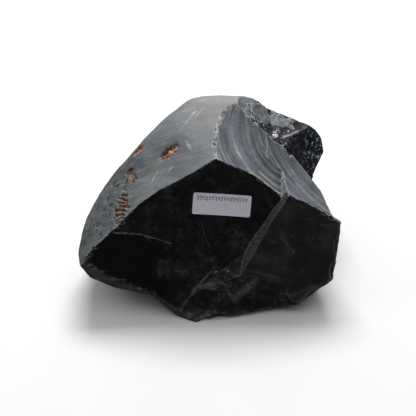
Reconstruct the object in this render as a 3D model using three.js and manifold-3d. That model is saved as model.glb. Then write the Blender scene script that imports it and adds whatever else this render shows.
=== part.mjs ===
// A chunk of black obsidian, broken by hand on every side, with a small paper label stuck to its
// front face.  Millimetres, +Z up, resting on z = 0, the labelled face looking along -Y.
//
// The stone is one solid.  It starts as a plain block and every face on it is a cut, as on the real
// thing: a flat break, a hollow where a flake came away, or a gently rounded weathered skin.
import * as THREE from 'three';
import { mergeVertices } from 'three/addons/utils/BufferGeometryUtils.js';
import Module from 'manifold-3d';

const wasm = await Module();
wasm.setup();

// ---------------------------------------------------------------- sizes of the rough block
const BLOCK_MIN = [-96, -64, 0];
const BLOCK_MAX = [96, 96, 128];
const HEART = [18, 8, 38];    // a point deep inside the stone
const CUT_REACH = 170;        // how far a cut runs on to each side of its own middle
const CUT_DEPTH = 160;        // how thick a slice a cut takes off
const BOWED_CELLS = 44;       // squares along one side of a bowed cut
const SCAR_CELLS = 22;        // squares along one side of a small scar
const SCAR_OVERRUN = 1.7;     // a scar's cutter runs past its own outline by this much
const SCAR_DEPTH = 30;        // how thick a slice a scar's cutter takes off

// ---------------------------------------------------------------- corners where the faces meet
const LEFT_TIP = [-82, -37, 44];          // pointed end of the front hollow, well off the ground
const APEX = [9.5, -3, 106];              // front hollow, weathered skin and ribbed scar meet
const LEFT_SHOULDER = [-53, 26, 84];      // on the weathered skin, near the left skyline
const LEFT_LOW = [-86.2, -14.2, 55.3];    // left skyline, from just above the tip up to the crown
const LEFT_WAIST = [-54.3, 27.6, 84.8];
const LEFT_HIGH = [-34, 47.8, 101.2];
const CROWN_LEFT = [-11.7, 55.8, 115.2];
const CROWN = [4.5, 44.6, 122.2];         // highest point before the skin was worn round
const CROWN_WORN = [4.5, 44.6, 119.2];
const BEVEL_FOOT_TOP = [48.5, -12.5, 78]; // front hollow meets the ribbed scar beside the bevel
const PLATE_TOP = [53.5, -13, 84];        // upper left corner of the dull right hand facet
const PLATE_LOW = [24, -34.5, 34];
const PLATE_RIGHT = [86, -18, 61];
const RIDGE_TOP = [30, 24, 112];          // the ridge right of the ribbed scar, from high to low
const RIDGE_HIGH = [43.8, 16.5, 104];
const CREST_LEFT = [18.3, 31, 119];       // the small rough crest beside the crown
const CREST_BACK = [31, 47.2, 112];
const CREST_END = [42.7, 47.3, 98];
const SHELF_FRONT = [50, 38, 93.8];       // the shelf between the crest and the lobe
const SHELF_RIGHT = [63.4, 43.1, 90.1];
const LOBE_HIGH = [69, 52.5, 90.6];       // the dark lobe at the far right
const LOBE_RIGHT = [81.8, 50.5, 69];

// ---------------------------------------------------------------- label
const LABEL_WIDTH = 38;
const LABEL_HEIGHT = 15.2;
const LABEL_CORNER = 1.4;
const LABEL_THICK = 0.25;
const LABEL_GAP = 0.3;          // glue between the paper and the stone
const LABEL_COLUMNS = 28;       // squares along and across the sheet, so it can follow the hollow
const LABEL_ROWS = 6;
const LABEL_MIDDLE = [9, -13.5, 73];
const LABEL_ACROSS = [38, -0.3, -2.9];    // the way its long edge runs

// ---------------------------------------------------------------- colours
const GLASS_COLOUR = 0x131315;
const PAPER_COLOUR = 0xd8d4de;

const vec = (p) => new THREE.Vector3(...p);

/** A bowed face through three corners; bow is how far it swells (+) or sinks (-) between them. */
function through(a, b, c, bow = 0) {
  const [pa, pb, pc] = [vec(a), vec(b), vec(c)];
  const ab = pb.clone().sub(pa);
  const ac = pc.clone().sub(pa);
  const cross = ab.clone().cross(ac);
  const facing = cross.clone().normalize();
  if (facing.dot(pa.clone().sub(vec(HEART))) < 0) facing.negate();
  const hub = cross.clone().cross(ab).multiplyScalar(ac.lengthSq())
    .add(ac.clone().cross(cross).multiplyScalar(ab.lengthSq()))
    .divideScalar(2 * cross.lengthSq());
  const curve = bow / hub.lengthSq();
  const at = pa.clone().add(hub).addScaledVector(facing, bow);
  const mid = pa.clone().add(pb).add(pc).divideScalar(3);
  return { at, facing, along: ab.normalize(), curveAlong: curve, curveAcross: curve, mid };
}

/** A bowed face touching one point; radius is how round it is (+ swells, - sinks, 0 flat). */
function facing(point, direction, radius = 0) {
  const n = vec(direction).normalize();
  const along = new THREE.Vector3(0, 0, 1).cross(n);
  if (along.lengthSq() < 0.01) along.set(1, 0, 0);
  const curve = radius === 0 ? 0 : 1 / (2 * radius);
  const at = vec(point);
  return { at, facing: n, along: along.normalize(), curveAlong: curve, curveAcross: curve, mid: at };
}

/** A small oval dish: where it sits, the way it looks, its long way, half sizes and depth. */
function scar(point, direction, longWay, halfLong, halfWide, depth) {
  const n = vec(direction).normalize();
  const along = vec(longWay).addScaledVector(n, -vec(longWay).dot(n)).normalize();
  const at = vec(point).addScaledVector(n, -depth);
  return {
    at,
    facing: n,
    along,
    curveAlong: -depth / halfLong ** 2,
    curveAcross: -depth / halfWide ** 2,
    mid: at,
    reachAlong: halfLong * SCAR_OVERRUN,
    reachAcross: halfWide * SCAR_OVERRUN,
  };
}

/** A face that swells along its length and is hollow across it, with these two radii. */
function trough(point, direction, longWay, swellRadius, hollowRadius) {
  const face = facing(point, direction);
  const along = vec(longWay).addScaledVector(face.facing, -vec(longWay).dot(face.facing)).normalize();
  return { ...face, along, curveAlong: 1 / (2 * swellRadius), curveAcross: -1 / (2 * hollowRadius) };
}

/** Turns a closed geometry into a solid for joining and cutting. */
function solid(geometry) {
  const bare = new THREE.BufferGeometry();
  bare.setAttribute('position', geometry.getAttribute('position').clone());
  if (geometry.index) bare.setIndex(geometry.index.clone());
  const merged = mergeVertices(bare, 1e-5);
  return new wasm.Manifold(new wasm.Mesh({
    numProp: 3,
    vertProperties: new Float32Array(merged.getAttribute('position').array),
    triVerts: new Uint32Array(merged.index.array),
  }));
}

/** Closed slab between two sheets of points with the same rows and columns. */
function slab(rows, cols, lower, upper) {
  const positions = [];
  const index = [];
  const id = (r, c, top) => (top ? (rows + 1) * (cols + 1) : 0) + r * (cols + 1) + c;
  const quad = (a, b, c, d) => index.push(a, b, c, a, c, d);
  for (const sheet of [lower, upper]) {
    for (let r = 0; r <= rows; r += 1) {
      for (let c = 0; c <= cols; c += 1) positions.push(...sheet(r / rows, c / cols).toArray());
    }
  }
  for (let r = 0; r < rows; r += 1) {
    for (let c = 0; c < cols; c += 1) {
      quad(id(r, c, 1), id(r + 1, c, 1), id(r + 1, c + 1, 1), id(r, c + 1, 1));
      quad(id(r, c, 0), id(r, c + 1, 0), id(r + 1, c + 1, 0), id(r + 1, c, 0));
    }
  }
  for (let r = 0; r < rows; r += 1) {
    quad(id(r, 0, 0), id(r + 1, 0, 0), id(r + 1, 0, 1), id(r, 0, 1));
    quad(id(r + 1, cols, 0), id(r, cols, 0), id(r, cols, 1), id(r + 1, cols, 1));
  }
  for (let c = 0; c < cols; c += 1) {
    quad(id(0, c + 1, 0), id(0, c, 0), id(0, c, 1), id(0, c + 1, 1));
    quad(id(rows, c, 0), id(rows, c + 1, 0), id(rows, c + 1, 1), id(rows, c, 1));
  }
  const geometry = new THREE.BufferGeometry();
  geometry.setAttribute('position', new THREE.Float32BufferAttribute(positions, 3));
  geometry.setIndex(index);
  return geometry;
}

/** Point on a face (or lifted off it) above the place (x, y) measured in the face's own plane. */
function onFace(face, origin, x, y, lift) {
  const across = face.facing.clone().cross(face.along);
  const flat = origin.clone().addScaledVector(face.along, x).addScaledVector(across, y);
  const offset = flat.clone().sub(face.at);
  const u = offset.dot(face.along);
  const v = offset.dot(across);
  const height = -face.curveAlong * u * u - face.curveAcross * v * v;
  return flat.addScaledVector(face.facing, height - offset.dot(face.facing) + lift);
}

/** Everything on the open side of a face, as a solid ready to be taken away. */
function outside(face) {
  const bowed = face.curveAlong !== 0 || face.curveAcross !== 0;
  const cells = face.reachAlong ? SCAR_CELLS : bowed ? BOWED_CELLS : 1;
  const reachAlong = face.reachAlong ?? CUT_REACH;
  const reachAcross = face.reachAcross ?? CUT_REACH;
  const place = (lift) => (s, t) => onFace(
    face, face.mid, (2 * s - 1) * reachAlong, (2 * t - 1) * reachAcross, lift,
  );
  return solid(slab(cells, cells, place(0), place(face.reachAlong ? SCAR_DEPTH : CUT_DEPTH)));
}

// ---------------------------------------------------------------- front faces
const frontHollow = through(LEFT_TIP, APEX, BEVEL_FOOT_TOP, -6);
const bevel = facing(PLATE_TOP, [-0.67, -0.45, 0.59]);
const plate = through(PLATE_TOP, PLATE_LOW, PLATE_RIGHT);
const toeTop = facing([4, -31, 28], [-0.28, -0.64, 0.71]);
const toeLeft = facing([-9.5, -36, 19.5], [-0.62, -0.26, 0.74]);
const deepScallop = scar([-53.3, -36.1, 32.1], [0.165, -0.89, 0.426], [-0.99, -0.02, 0.13], 31.8, 25.2, 3.2);
const scallopStop = facing([-13, -33, 30], [-0.9, -0.1, 0.3]);
const scallopStep = scar([-27, -26.3, 47], [0.1, -0.86, 0.5], [9, -1, -4], 7.5, 3.6, 1.1);
const toeScars = [
  scar([32, -40.8, 15.5], [0.05, -0.96, 0.27], [27, -2, -3], 31, 17, 3.2),
  scar([1, -42.8, 16.5], [-0.22, -0.95, 0.22], [9, -1, 2], 18, 11.5, 4.2),
  scar([40, -42.5, 9], [0.12, -0.97, 0.2], [9, 0, 0], 20, 13, 4.2),
  scar([17, -38.5, 26], [-0.1, -0.9, 0.42], [9, 0, 4], 13, 6, 1.8),
  scar([6, -34.5, 31.5], [-0.3, -0.75, 0.6], [9, 0, 3], 8, 5, 1.4),
  scar([57, -36.5, 20], [0.3, -0.92, 0.25], [5, 1, 9], 12, 7, 1.6),
];

// ---------------------------------------------------------------- weathered skin
const cortex = through(LEFT_TIP, APEX, LEFT_SHOULDER, 3);
const leftLow = through(LEFT_LOW, LEFT_WAIST, [-79, 15, 9], 4);
const leftMid = through(LEFT_WAIST, LEFT_HIGH, [-48, 58, 39], -2);
const leftHigh = through(LEFT_HIGH, CROWN_LEFT, [-35, 73.5, 59], 2);
const leftEnd = facing([-84.5, -34, 48], [-0.97, -0.1, 0.15]);
const crown = facing(CROWN, [0.1, 0.75, 0.66], 600);
const crownWorn = facing(CROWN_WORN, [0, 0.15, 0.99]);

// ---------------------------------------------------------------- ribbed scar, crest and shelf
const ribbedScar = trough([31.5, -7.4, 91.3], [0.44, -0.42, 0.79], [0.655, -0.453, -0.605], 133, 57);
const ribbedTail = trough([69.8, -8, 74.4], [0.5, -0.25, 0.83], [0.866, 0.122, -0.485], 234, 67);
const tailStop = facing([30, 0, 90], [1, 0, 0]);
const ribbedBowl = scar([23.4, 8.3, 106.3], [0.122, -0.407, 0.90], [25, -30, -22], 34.5, 19, 4);
const crestTop = through(CREST_LEFT, RIDGE_TOP, CREST_BACK);
const crestSide = through(CREST_BACK, CREST_END, [32, 30, 108.5]);
const saddle = facing([60, 9, 88.5], [0.72, 0.65, 0.28]);
const darkBand = through(RIDGE_HIGH, RIDGE_TOP, SHELF_FRONT);
const shelf = through(CREST_END, SHELF_FRONT, [61.4, 50, 92]);
const shelfEnd = scar([61, 46.5, 92], [0.5, -0.2, 0.85], [0.85, 0.5, -0.1], 9.5, 5.5, 1.6);
const darkDish = scar([40.5, 30, 102.5], [0.6, -0.25, 0.76], [12, -6, -12], 15, 6, 2.2);

// ---------------------------------------------------------------- lobe and right hand end
const lobeFace = through([46.6, 25, 98.4], SHELF_RIGHT, [80, 49.6, 68], 1);
const lobeShoulder = facing(LOBE_HIGH, [0.8, 0.15, 0.58], 60);
const lobeEnd = facing(LOBE_RIGHT, [0.98, -0.12, 0.15], 90);
const lobeLow = facing([75.7, 39.2, 64.1], [0.9, -0.2, -0.58]);
const notchFloor = facing([72, 22, 40], [0.7, 0.1, 0.7]);
const rightEnd = facing([87.5, -18, 61], [0.97, 0.22, -0.1], 260);
const rightChamfer = facing([77.8, -7.7, 70.3], [0.88, 0.42, 0]);
const cornerTop = facing([83.5, -16.8, 64.3], [0.5, 0.65, 0.57]);

// ---------------------------------------------------------------- back
const back = facing([20, 80, 50], [0.15, 0.98, 0.05]);
const backTop = facing([53, 51, 96.6], [0.28, 0.82, 0.51]);
const backScars = [
  scar([-12, 76, 52], [-0.1, 0.97, 0.2], [40, 4, 18], 40, 30, 6),
  scar([50, 76, 40], [0.25, 0.95, 0.05], [10, -2, 40], 34, 22, 5),
  scar([-62, 26, 38], [-0.82, 0.55, 0.1], [20, 30, -10], 34, 22, 5),
];

// ---------------------------------------------------------------- underside
const underStrip = through([-84, -35.8, 42.1], [-57.8, -37.1, 24.8], [-57.8, -34, 9]);
const underRight = facing([-33.6, -40.5, 12.8], [-0.556, -0.757, -0.34]);
const underHeel = facing([-30, -41, 8], [-0.6, -0.15, -0.66]);
const toeFoot = facing([-15, -46.7, 2], [-0.4, -0.9, -0.15]);
const underMid = facing([-56.1, -35.8, 16.8], [-0.187, -0.3, -0.93]);
const leftUnder = facing([-68, -34.5, 20.8], [-0.46, -0.25, -0.88]);
const leftFoot = facing([-82, -34.5, 33.4], [-0.87, -0.1, -0.45]);
const lowRight = facing([32.1, -44.5, 4.5], [0.16, -0.5, -0.85]);
const lowRightCorner = facing([74, -27.5, 11], [0.6, -0.45, -0.66]);
const lowBack = facing([30, 72, 10], [0.1, 0.75, -0.65]);

// Each entry is one blow.  Where it lists several faces only the part outside all of them goes,
// which leaves a step or a valley between them.
const CUTS = [
  [frontHollow, bevel, toeTop],
  [frontHollow, bevel, toeLeft],
  [plate],
  [deepScallop, scallopStop],
  [scallopStep],
  ...toeScars.map((face) => [face]),
  [cortex],
  [ribbedScar, bevel],
  [ribbedTail, tailStop],
  [ribbedBowl],
  [crestTop],
  [crown],
  [crownWorn],
  [shelfEnd],
  [darkDish],
  [darkBand, crestSide, shelf],
  [saddle, crestSide, shelf],
  [darkBand, lobeFace],
  [saddle, lobeFace, notchFloor],
  [darkBand, lobeShoulder],
  [saddle, lobeShoulder, rightChamfer],
  [rightEnd, lobeEnd],
  [rightEnd, lobeLow],
  [rightChamfer, cornerTop, lobeEnd],
  [rightChamfer, cornerTop, lobeLow],
  [leftEnd],
  [leftLow],
  [leftMid],
  [leftHigh],
  [back],
  [backTop],
  ...backScars.map((face) => [face]),
  [underStrip, underRight],
  [underMid, underHeel],
  [leftUnder],
  [leftFoot],
  [toeFoot, underStrip],
  [lowRight],
  [lowRightCorner],
  [lowBack],
];

/** The rough block with every cut taken from it. */
function stoneGeometry() {
  const low = vec(BLOCK_MIN);
  const high = vec(BLOCK_MAX);
  const size = high.clone().sub(low);
  const block = new THREE.BoxGeometry(size.x, size.y, size.z);
  block.translate(...low.clone().add(high).multiplyScalar(0.5).toArray());
  let stone = solid(block);
  for (const faces of CUTS) {
    const blow = faces.map(outside).reduce((whole, next) => whole.intersect(next));
    stone = stone.subtract(blow);
  }
  const mesh = stone.getMesh();
  const geometry = new THREE.BufferGeometry();
  geometry.setAttribute('position', new THREE.Float32BufferAttribute(mesh.vertProperties, 3));
  geometry.setIndex([...mesh.triVerts]);
  geometry.computeVertexNormals();
  return geometry;
}

/** Thin paper sheet with rounded corners, following the front hollow. */
function labelGeometry() {
  const n = frontHollow.facing;
  const along = vec(LABEL_ACROSS).addScaledVector(n, -vec(LABEL_ACROSS).dot(n)).normalize();
  const face = { ...frontHollow, along };
  const halfWidth = LABEL_WIDTH / 2;
  const sheet = (lift) => (s, t) => {
    const swing = Math.PI * (s - 0.5);
    const x = halfWidth * Math.sin(swing);
    const past = Math.max(0, Math.abs(x) - (halfWidth - LABEL_CORNER)) / LABEL_CORNER;
    const halfHeight = LABEL_HEIGHT / 2 - LABEL_CORNER * (1 - Math.sqrt(Math.max(0, 1 - past * past)));
    return onFace(face, vec(LABEL_MIDDLE), x, (2 * t - 1) * halfHeight, lift);
  };
  const geometry = slab(LABEL_COLUMNS, LABEL_ROWS, sheet(LABEL_GAP), sheet(LABEL_GAP + LABEL_THICK));
  geometry.computeVertexNormals();
  return geometry;
}

const glass = new THREE.MeshStandardMaterial({
  name: 'obsidian', color: GLASS_COLOUR, roughness: 0.25, metalness: 0, flatShading: true,
});
const paper = new THREE.MeshStandardMaterial({
  name: 'label_paper', color: PAPER_COLOUR, roughness: 0.85, metalness: 0,
});

const stone = new THREE.Mesh(stoneGeometry(), glass);
stone.name = 'obsidian_chunk';

const label = new THREE.Mesh(labelGeometry(), paper);
label.name = 'paper_label';

const part = new THREE.Group();
part.name = 'obsidian_chunk_with_label';
part.add(stone, label);

export default part;
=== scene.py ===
import bpy
import numpy as np
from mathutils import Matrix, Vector


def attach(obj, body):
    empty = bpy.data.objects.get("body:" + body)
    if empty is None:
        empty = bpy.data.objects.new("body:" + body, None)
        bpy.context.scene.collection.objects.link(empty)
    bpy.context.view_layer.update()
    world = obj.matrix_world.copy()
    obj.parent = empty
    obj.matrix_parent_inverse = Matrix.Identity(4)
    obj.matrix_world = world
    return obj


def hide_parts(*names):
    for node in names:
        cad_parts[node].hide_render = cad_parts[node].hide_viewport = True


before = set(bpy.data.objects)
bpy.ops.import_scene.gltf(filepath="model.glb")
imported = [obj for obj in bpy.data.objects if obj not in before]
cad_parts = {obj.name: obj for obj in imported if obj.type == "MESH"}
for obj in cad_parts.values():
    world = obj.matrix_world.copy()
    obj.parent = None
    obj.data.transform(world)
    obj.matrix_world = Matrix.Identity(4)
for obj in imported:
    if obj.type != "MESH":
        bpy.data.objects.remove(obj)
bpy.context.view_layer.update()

# ------------------------------------------------------------------ the stone: its faces
# One lump of black volcanic glass, broken by hand.  Every face on it is a hollow left by a flake, a
# flat break or the older weathered skin.  It stands loose on its flat underside.
MM = 0.001                                 # everything below is in millimetres until it is a mesh

LEFT_TIP = (-82, -37, 44)                  # pointed end of the front hollow, well off the ground
APEX = (9.5, -3, 106)                      # front hollow, weathered skin and ribbed scar meet
LEFT_SHOULDER = (-53, 26, 84)              # on the weathered skin, near its left edge
LEFT_LOW = (-86.2, -14.2, 55.3)            # the left edge, from just above the tip up to the crown
LEFT_WAIST = (-54.3, 27.6, 84.8)
LEFT_HIGH = (-34, 47.8, 101.2)
CROWN_LEFT = (-11.7, 55.8, 115.2)
CROWN = (4.5, 44.6, 122.2)                 # highest point, before it was worn round
BEVEL_FOOT_TOP = (48.5, -12.5, 78)         # front hollow meets the ribbed scar beside the bevel
PLATE_TOP = (53.5, -13, 84)                # upper left corner of the dull right hand facet
PLATE_LOW = (24, -34.5, 34)
PLATE_RIGHT = (86, -18, 61)
RIDGE_TOP = (30, 24, 112)                  # the ridge right of the ribbed scar, from high to low
RIDGE_HIGH = (43.8, 16.5, 104)
CREST_LEFT = (18.3, 31, 119)               # the small rough crest beside the crown
CREST_BACK = (31, 47.2, 112)
CREST_END = (42.7, 47.3, 98)
SHELF_FRONT = (50, 38, 93.8)               # the shelf between the crest and the lobe
SHELF_RIGHT = (63.4, 43.1, 90.1)
LOBE_HIGH = (69, 52.5, 90.6)               # the dark lobe at the far right
LOBE_RIGHT = (81.8, 50.5, 69)
HEART = np.array([18.0, 8.0, 38.0])        # deep inside; the whole surface can be seen from here
CORE = np.array([34.0, 10.0, 8.0])         # half sizes of the egg round it that the rays leave from


def unit(v):
    """The same direction with length one."""
    v = np.asarray(v, float)
    return v / np.linalg.norm(v, axis=-1, keepdims=True)


def face(at, n, along, bend_along, bend_across, skin, uneven, swell, ripple, wave, strike):
    """A face: height over its own plane = -bend_along x² - bend_across y², then its skin and relief."""
    return dict(at=np.asarray(at, float), n=n, u=along, v=np.cross(n, along), ku=bend_along,
                kv=bend_across, skin=skin, uneven=uneven, swell=swell, ripple=ripple, wave=wave,
                strike=np.asarray(at if strike is None else strike, float))


def through(a, b, c, bow=0.0, skin="fresh", uneven=0.5, swell=24, ripple=0.0, wave=5, strike=None):
    """A bowed face through three corners, swelling by bow at the middle of the circle through them."""
    a, b, c = (np.asarray(p, float) for p in (a, b, c))
    cross = np.cross(b - a, c - a)
    n = unit(cross)
    if n @ (a - HEART) < 0:
        n = -n
    hub = np.cross(cross, b - a) * ((c - a) @ (c - a)) + np.cross(c - a, cross) * ((b - a) @ (b - a))
    hub = hub / (2 * cross @ cross)
    bend = bow / (hub @ hub)
    return face(a + hub + n * bow, n, unit(b - a), bend, bend, skin, uneven, swell, ripple, wave, strike)


def facing(point, way, radius=0.0, skin="fresh", uneven=0.5, swell=24, ripple=0.0, wave=5, strike=None):
    """A face touching one point; radius is how round it swells, and 0 is flat."""
    n = unit(way)
    bend = 0.0 if radius == 0 else 1 / (2 * radius)
    level = unit(np.cross((0.03, 0.02, 1), n))
    return face(point, n, level, bend, bend, skin, uneven, swell, ripple, wave, strike)


def scar(point, way, long_way, half_long, half_wide, depth, skin="fresh", uneven=0.25, swell=12,
         ripple=0.1, wave=4, strike=None):
    """An oval dish: depth x (1 - (x/half_long)² - (y/half_wide)²) below its rim."""
    n = unit(way)
    along = unit(np.asarray(long_way, float) - n * (np.asarray(long_way, float) @ n))
    at = np.asarray(point, float) - n * depth
    return face(at, n, along, -depth / half_long**2, -depth / half_wide**2, skin, uneven, swell,
                ripple, wave, strike)


def trough(point, way, long_way, swell_radius, hollow_radius, **looks):
    """A face that swells along its length and is hollow across it, with these two radii."""
    f = facing(point, way, **looks)
    along = np.asarray(long_way, float)
    f["u"] = unit(along - f["n"] * (along @ f["n"]))
    f["v"] = np.cross(f["n"], f["u"])
    f["ku"], f["kv"] = 1 / (2 * swell_radius), -1 / (2 * hollow_radius)
    return f


front_hollow = through(LEFT_TIP, APEX, BEVEL_FOOT_TOP, -6, uneven=0.4, swell=30, ripple=0.10, wave=6,
                       strike=(40, -5, 92))
bevel = facing(PLATE_TOP, (-0.67, -0.45, 0.59), skin="bevel", uneven=0.3, swell=14)
plate = through(PLATE_TOP, PLATE_LOW, PLATE_RIGHT, skin="dull", uneven=0.5, swell=22, ripple=0.05,
                wave=7, strike=PLATE_TOP)
toe_top = facing((4, -31, 28), (-0.28, -0.64, 0.71), uneven=0.8, swell=9)
toe_left = facing((-9.5, -36, 19.5), (-0.62, -0.26, 0.74), uneven=0.8, swell=9)
deep_scallop = scar((-53.3, -36.1, 32.1), (0.165, -0.89, 0.426), (-0.99, -0.02, 0.13), 31.8, 25.2,
                    3.2, ripple=0.05, wave=6, strike=(-92, -36, 44))
scallop_stop = facing((-13, -33, 30), (-0.9, -0.1, 0.3))
scallop_step = scar((-27, -26.3, 47), (0.1, -0.86, 0.5), (9, -1, -4), 7.5, 3.6, 1.1)
TOE_RELIEF = dict(uneven=0.5, swell=7, ripple=0.12, wave=3)
toe_scars = [scar(*dish, strike=strike, **TOE_RELIEF) for *dish, strike in (
    ((32, -40.8, 15.5), (0.05, -0.96, 0.27), (27, -2, -3), 31, 17, 3.2, (30, -34, 36)),
    ((1, -42.8, 16.5), (-0.22, -0.95, 0.22), (9, -1, 2), 18, 11.5, 4.2, (-4, -46, 0)),
    ((40, -42.5, 9), (0.12, -0.97, 0.2), (9, 0, 0), 20, 13, 4.2, (24, -42, 24)),
    ((17, -38.5, 26), (-0.1, -0.9, 0.42), (9, 0, 4), 13, 6, 1.8, (28, -37, 30)),
    ((6, -34.5, 31.5), (-0.3, -0.75, 0.6), (9, 0, 3), 8, 5, 1.4, (12, -34, 33)),
)]
corner_scar = scar((57, -36.5, 20), (0.3, -0.92, 0.25), (5, 1, 9), 12, 7, 1.6, skin="dull", **TOE_RELIEF)

SKIN_RELIEF = dict(skin="weathered", uneven=1.0, swell=22)
cortex = through(LEFT_TIP, APEX, LEFT_SHOULDER, 3, **SKIN_RELIEF)
left_low = through(LEFT_LOW, LEFT_WAIST, (-79, 15, 9), 4, **SKIN_RELIEF)
left_mid = through(LEFT_WAIST, LEFT_HIGH, (-48, 58, 39), -2, **SKIN_RELIEF)
left_high = through(LEFT_HIGH, CROWN_LEFT, (-35, 73.5, 59), 2, **SKIN_RELIEF)
left_end = facing((-84.5, -34, 48), (-0.97, -0.1, 0.15), **SKIN_RELIEF)
crown = facing(CROWN, (0.1, 0.75, 0.66), 600, **SKIN_RELIEF)

RIBS = dict(skin="ribbed", uneven=0.45, swell=14, ripple=0.32, wave=4.2)
ribbed_scar = trough((31.5, -7.4, 91.3), (0.44, -0.42, 0.79), (0.655, -0.453, -0.605), 133, 57,
                     strike=(68, 22.5, 111.7), **RIBS)
ribbed_tail = trough((69.8, -8, 74.4), (0.5, -0.25, 0.83), (0.866, 0.122, -0.485), 234, 67,
                     strike=(121, 55, 102), **RIBS)
tail_stop = facing((30, 0, 90), (1, 0, 0))
arris = facing(PLATE_TOP, (-0.67, -0.45, 0.59), **RIBS)   # carries the bevel's slope on up the scar
ribbed_bowl = scar((23.4, 8.3, 106.3), (0.122, -0.407, 0.90), (25, -30, -22), 34.5, 19, 4,
                   strike=(68, 22.5, 111.7), **RIBS)
CREST_RELIEF = dict(skin="hackled", uneven=0.9, swell=8)
crest_top = through(CREST_LEFT, RIDGE_TOP, CREST_BACK, skin="ribbed", uneven=0.9, swell=7)
crest_side = through(CREST_BACK, CREST_END, (32, 30, 108.5), skin="ribbed", uneven=0.9, swell=7)
saddle = facing((60, 9, 88.5), (0.72, 0.65, 0.28))
dark_band = through(RIDGE_HIGH, RIDGE_TOP, SHELF_FRONT, **CREST_RELIEF)
shelf = through(CREST_END, SHELF_FRONT, (61.4, 50, 92), skin="ribbed", uneven=0.9, swell=9)
shelf_end = scar((61, 46.5, 92), (0.5, -0.2, 0.85), (0.85, 0.5, -0.1), 9.5, 5.5, 1.6, skin="dull")
dark_dish = scar((40.5, 30, 102.5), (0.6, -0.25, 0.76), (12, -6, -12), 15, 6, 2.2, skin="ribbed", ripple=0)
fresh_break = facing((41.2, 38.6, 98.2), (-0.139, -0.663, -0.736))   # the shelf is black below this
lobe_face = through((46.6, 25, 98.4), SHELF_RIGHT, (80, 49.6, 68), 1, **CREST_RELIEF)
lobe_shoulder = facing(LOBE_HIGH, (0.8, 0.15, 0.58), 60, **CREST_RELIEF)
lobe_end = facing(LOBE_RIGHT, (0.98, -0.12, 0.15), 90, **CREST_RELIEF)
lobe_low = facing((75.7, 39.2, 64.1), (0.9, -0.2, -0.58), **CREST_RELIEF)
notch_floor = facing((72, 22, 40), (0.7, 0.1, 0.7))
right_end = facing((87.5, -18, 61), (0.97, 0.22, -0.1), 260, skin="dull", uneven=0.9, swell=10)
right_chamfer = facing((77.8, -7.7, 70.3), (0.88, 0.42, 0), skin="dull")
corner_top = facing((83.5, -16.8, 64.3), (0.5, 0.65, 0.57), skin="dull")

back = facing((20, 80, 50), (0.15, 0.98, 0.05), uneven=1.0, swell=30)
back_top = facing((53, 51, 96.6), (0.28, 0.82, 0.51))
back_scars = [
    scar((-12, 76, 52), (-0.1, 0.97, 0.2), (40, 4, 18), 40, 30, 6, ripple=0.2, strike=(-12, 76, 82)),
    scar((50, 76, 40), (0.25, 0.95, 0.05), (10, -2, 40), 34, 22, 5, ripple=0.2, strike=(66, 70, 70)),
    scar((-62, 26, 38), (-0.82, 0.55, 0.1), (20, 30, -10), 34, 22, 5, ripple=0.2),
]
under_strip = through((-84, -35.8, 42.1), (-57.8, -37.1, 24.8), (-57.8, -34, 9), skin="under")
under_right = facing((-33.6, -40.5, 12.8), (-0.556, -0.757, -0.34), skin="under")
under_heel = facing((-30, -41, 8), (-0.6, -0.15, -0.66), skin="under")
toe_foot = facing((-15, -46.7, 2), (-0.4, -0.9, -0.15), skin="under")
under_mid = facing((-56.1, -35.8, 16.8), (-0.187, -0.3, -0.93), skin="under")
left_under = facing((-68, -34.5, 20.8), (-0.46, -0.25, -0.88), skin="under")
left_foot = facing((-82, -34.5, 33.4), (-0.87, -0.1, -0.45), skin="under")
low_right = facing((32.1, -44.5, 4.5), (0.16, -0.5, -0.85), skin="under")
low_corner = facing((74, -27.5, 11), (0.6, -0.45, -0.66), skin="under")
low_back = facing((30, 72, 10), (0.1, 0.75, -0.65), skin="under")
seat = facing((0, 0, 0), (0, 0, -1), skin="under", uneven=0.0)

# Each row is one blow.  Where it names several faces, only what lies outside all of them goes.
BLOWS = [
    [front_hollow, bevel, toe_top], [front_hollow, bevel, toe_left], [plate],
    [deep_scallop, scallop_stop], [scallop_step], *[[f] for f in toe_scars], [corner_scar], [cortex],
    [ribbed_scar, arris], [ribbed_tail, tail_stop], [ribbed_bowl],
    [crest_top], [crown], [shelf_end], [dark_dish],
    [dark_band, crest_side, shelf], [saddle, crest_side, shelf], [dark_band, lobe_face],
    [saddle, lobe_face, notch_floor], [dark_band, lobe_shoulder], [saddle, lobe_shoulder, right_chamfer],
    [right_end, lobe_end], [right_end, lobe_low], [right_chamfer, corner_top, lobe_end],
    [right_chamfer, corner_top, lobe_low],
    [left_end], [left_low], [left_mid], [left_high], [back], [back_top], *[[f] for f in back_scars],
    [under_strip, under_right], [under_mid, under_heel], [left_under], [left_foot], [toe_foot, under_strip],
    [low_right], [low_corner], [low_back], [seat],
]

# Faces that flow into one another without an edge, and how wide the rounding between them is (mm).
WORN_TOGETHER = [([cortex, crown, left_high, left_mid, left_low, left_end], 13.0),
                 ([ribbed_scar, ribbed_bowl], 4.0)]

# ------------------------------------------------------------------ the stone: its surface
# The faces are met by rays that leave the core in every direction, so the skin is one closed sheet:
# the nearest blow sets how far each ray goes.
FAR = 1e6
NEAR_MISS = 7.0                            # relief is only worked out this close to the surface
FLATTEST = 0.35                            # relief seen along a slanting ray grows no more than 1 / this


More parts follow.
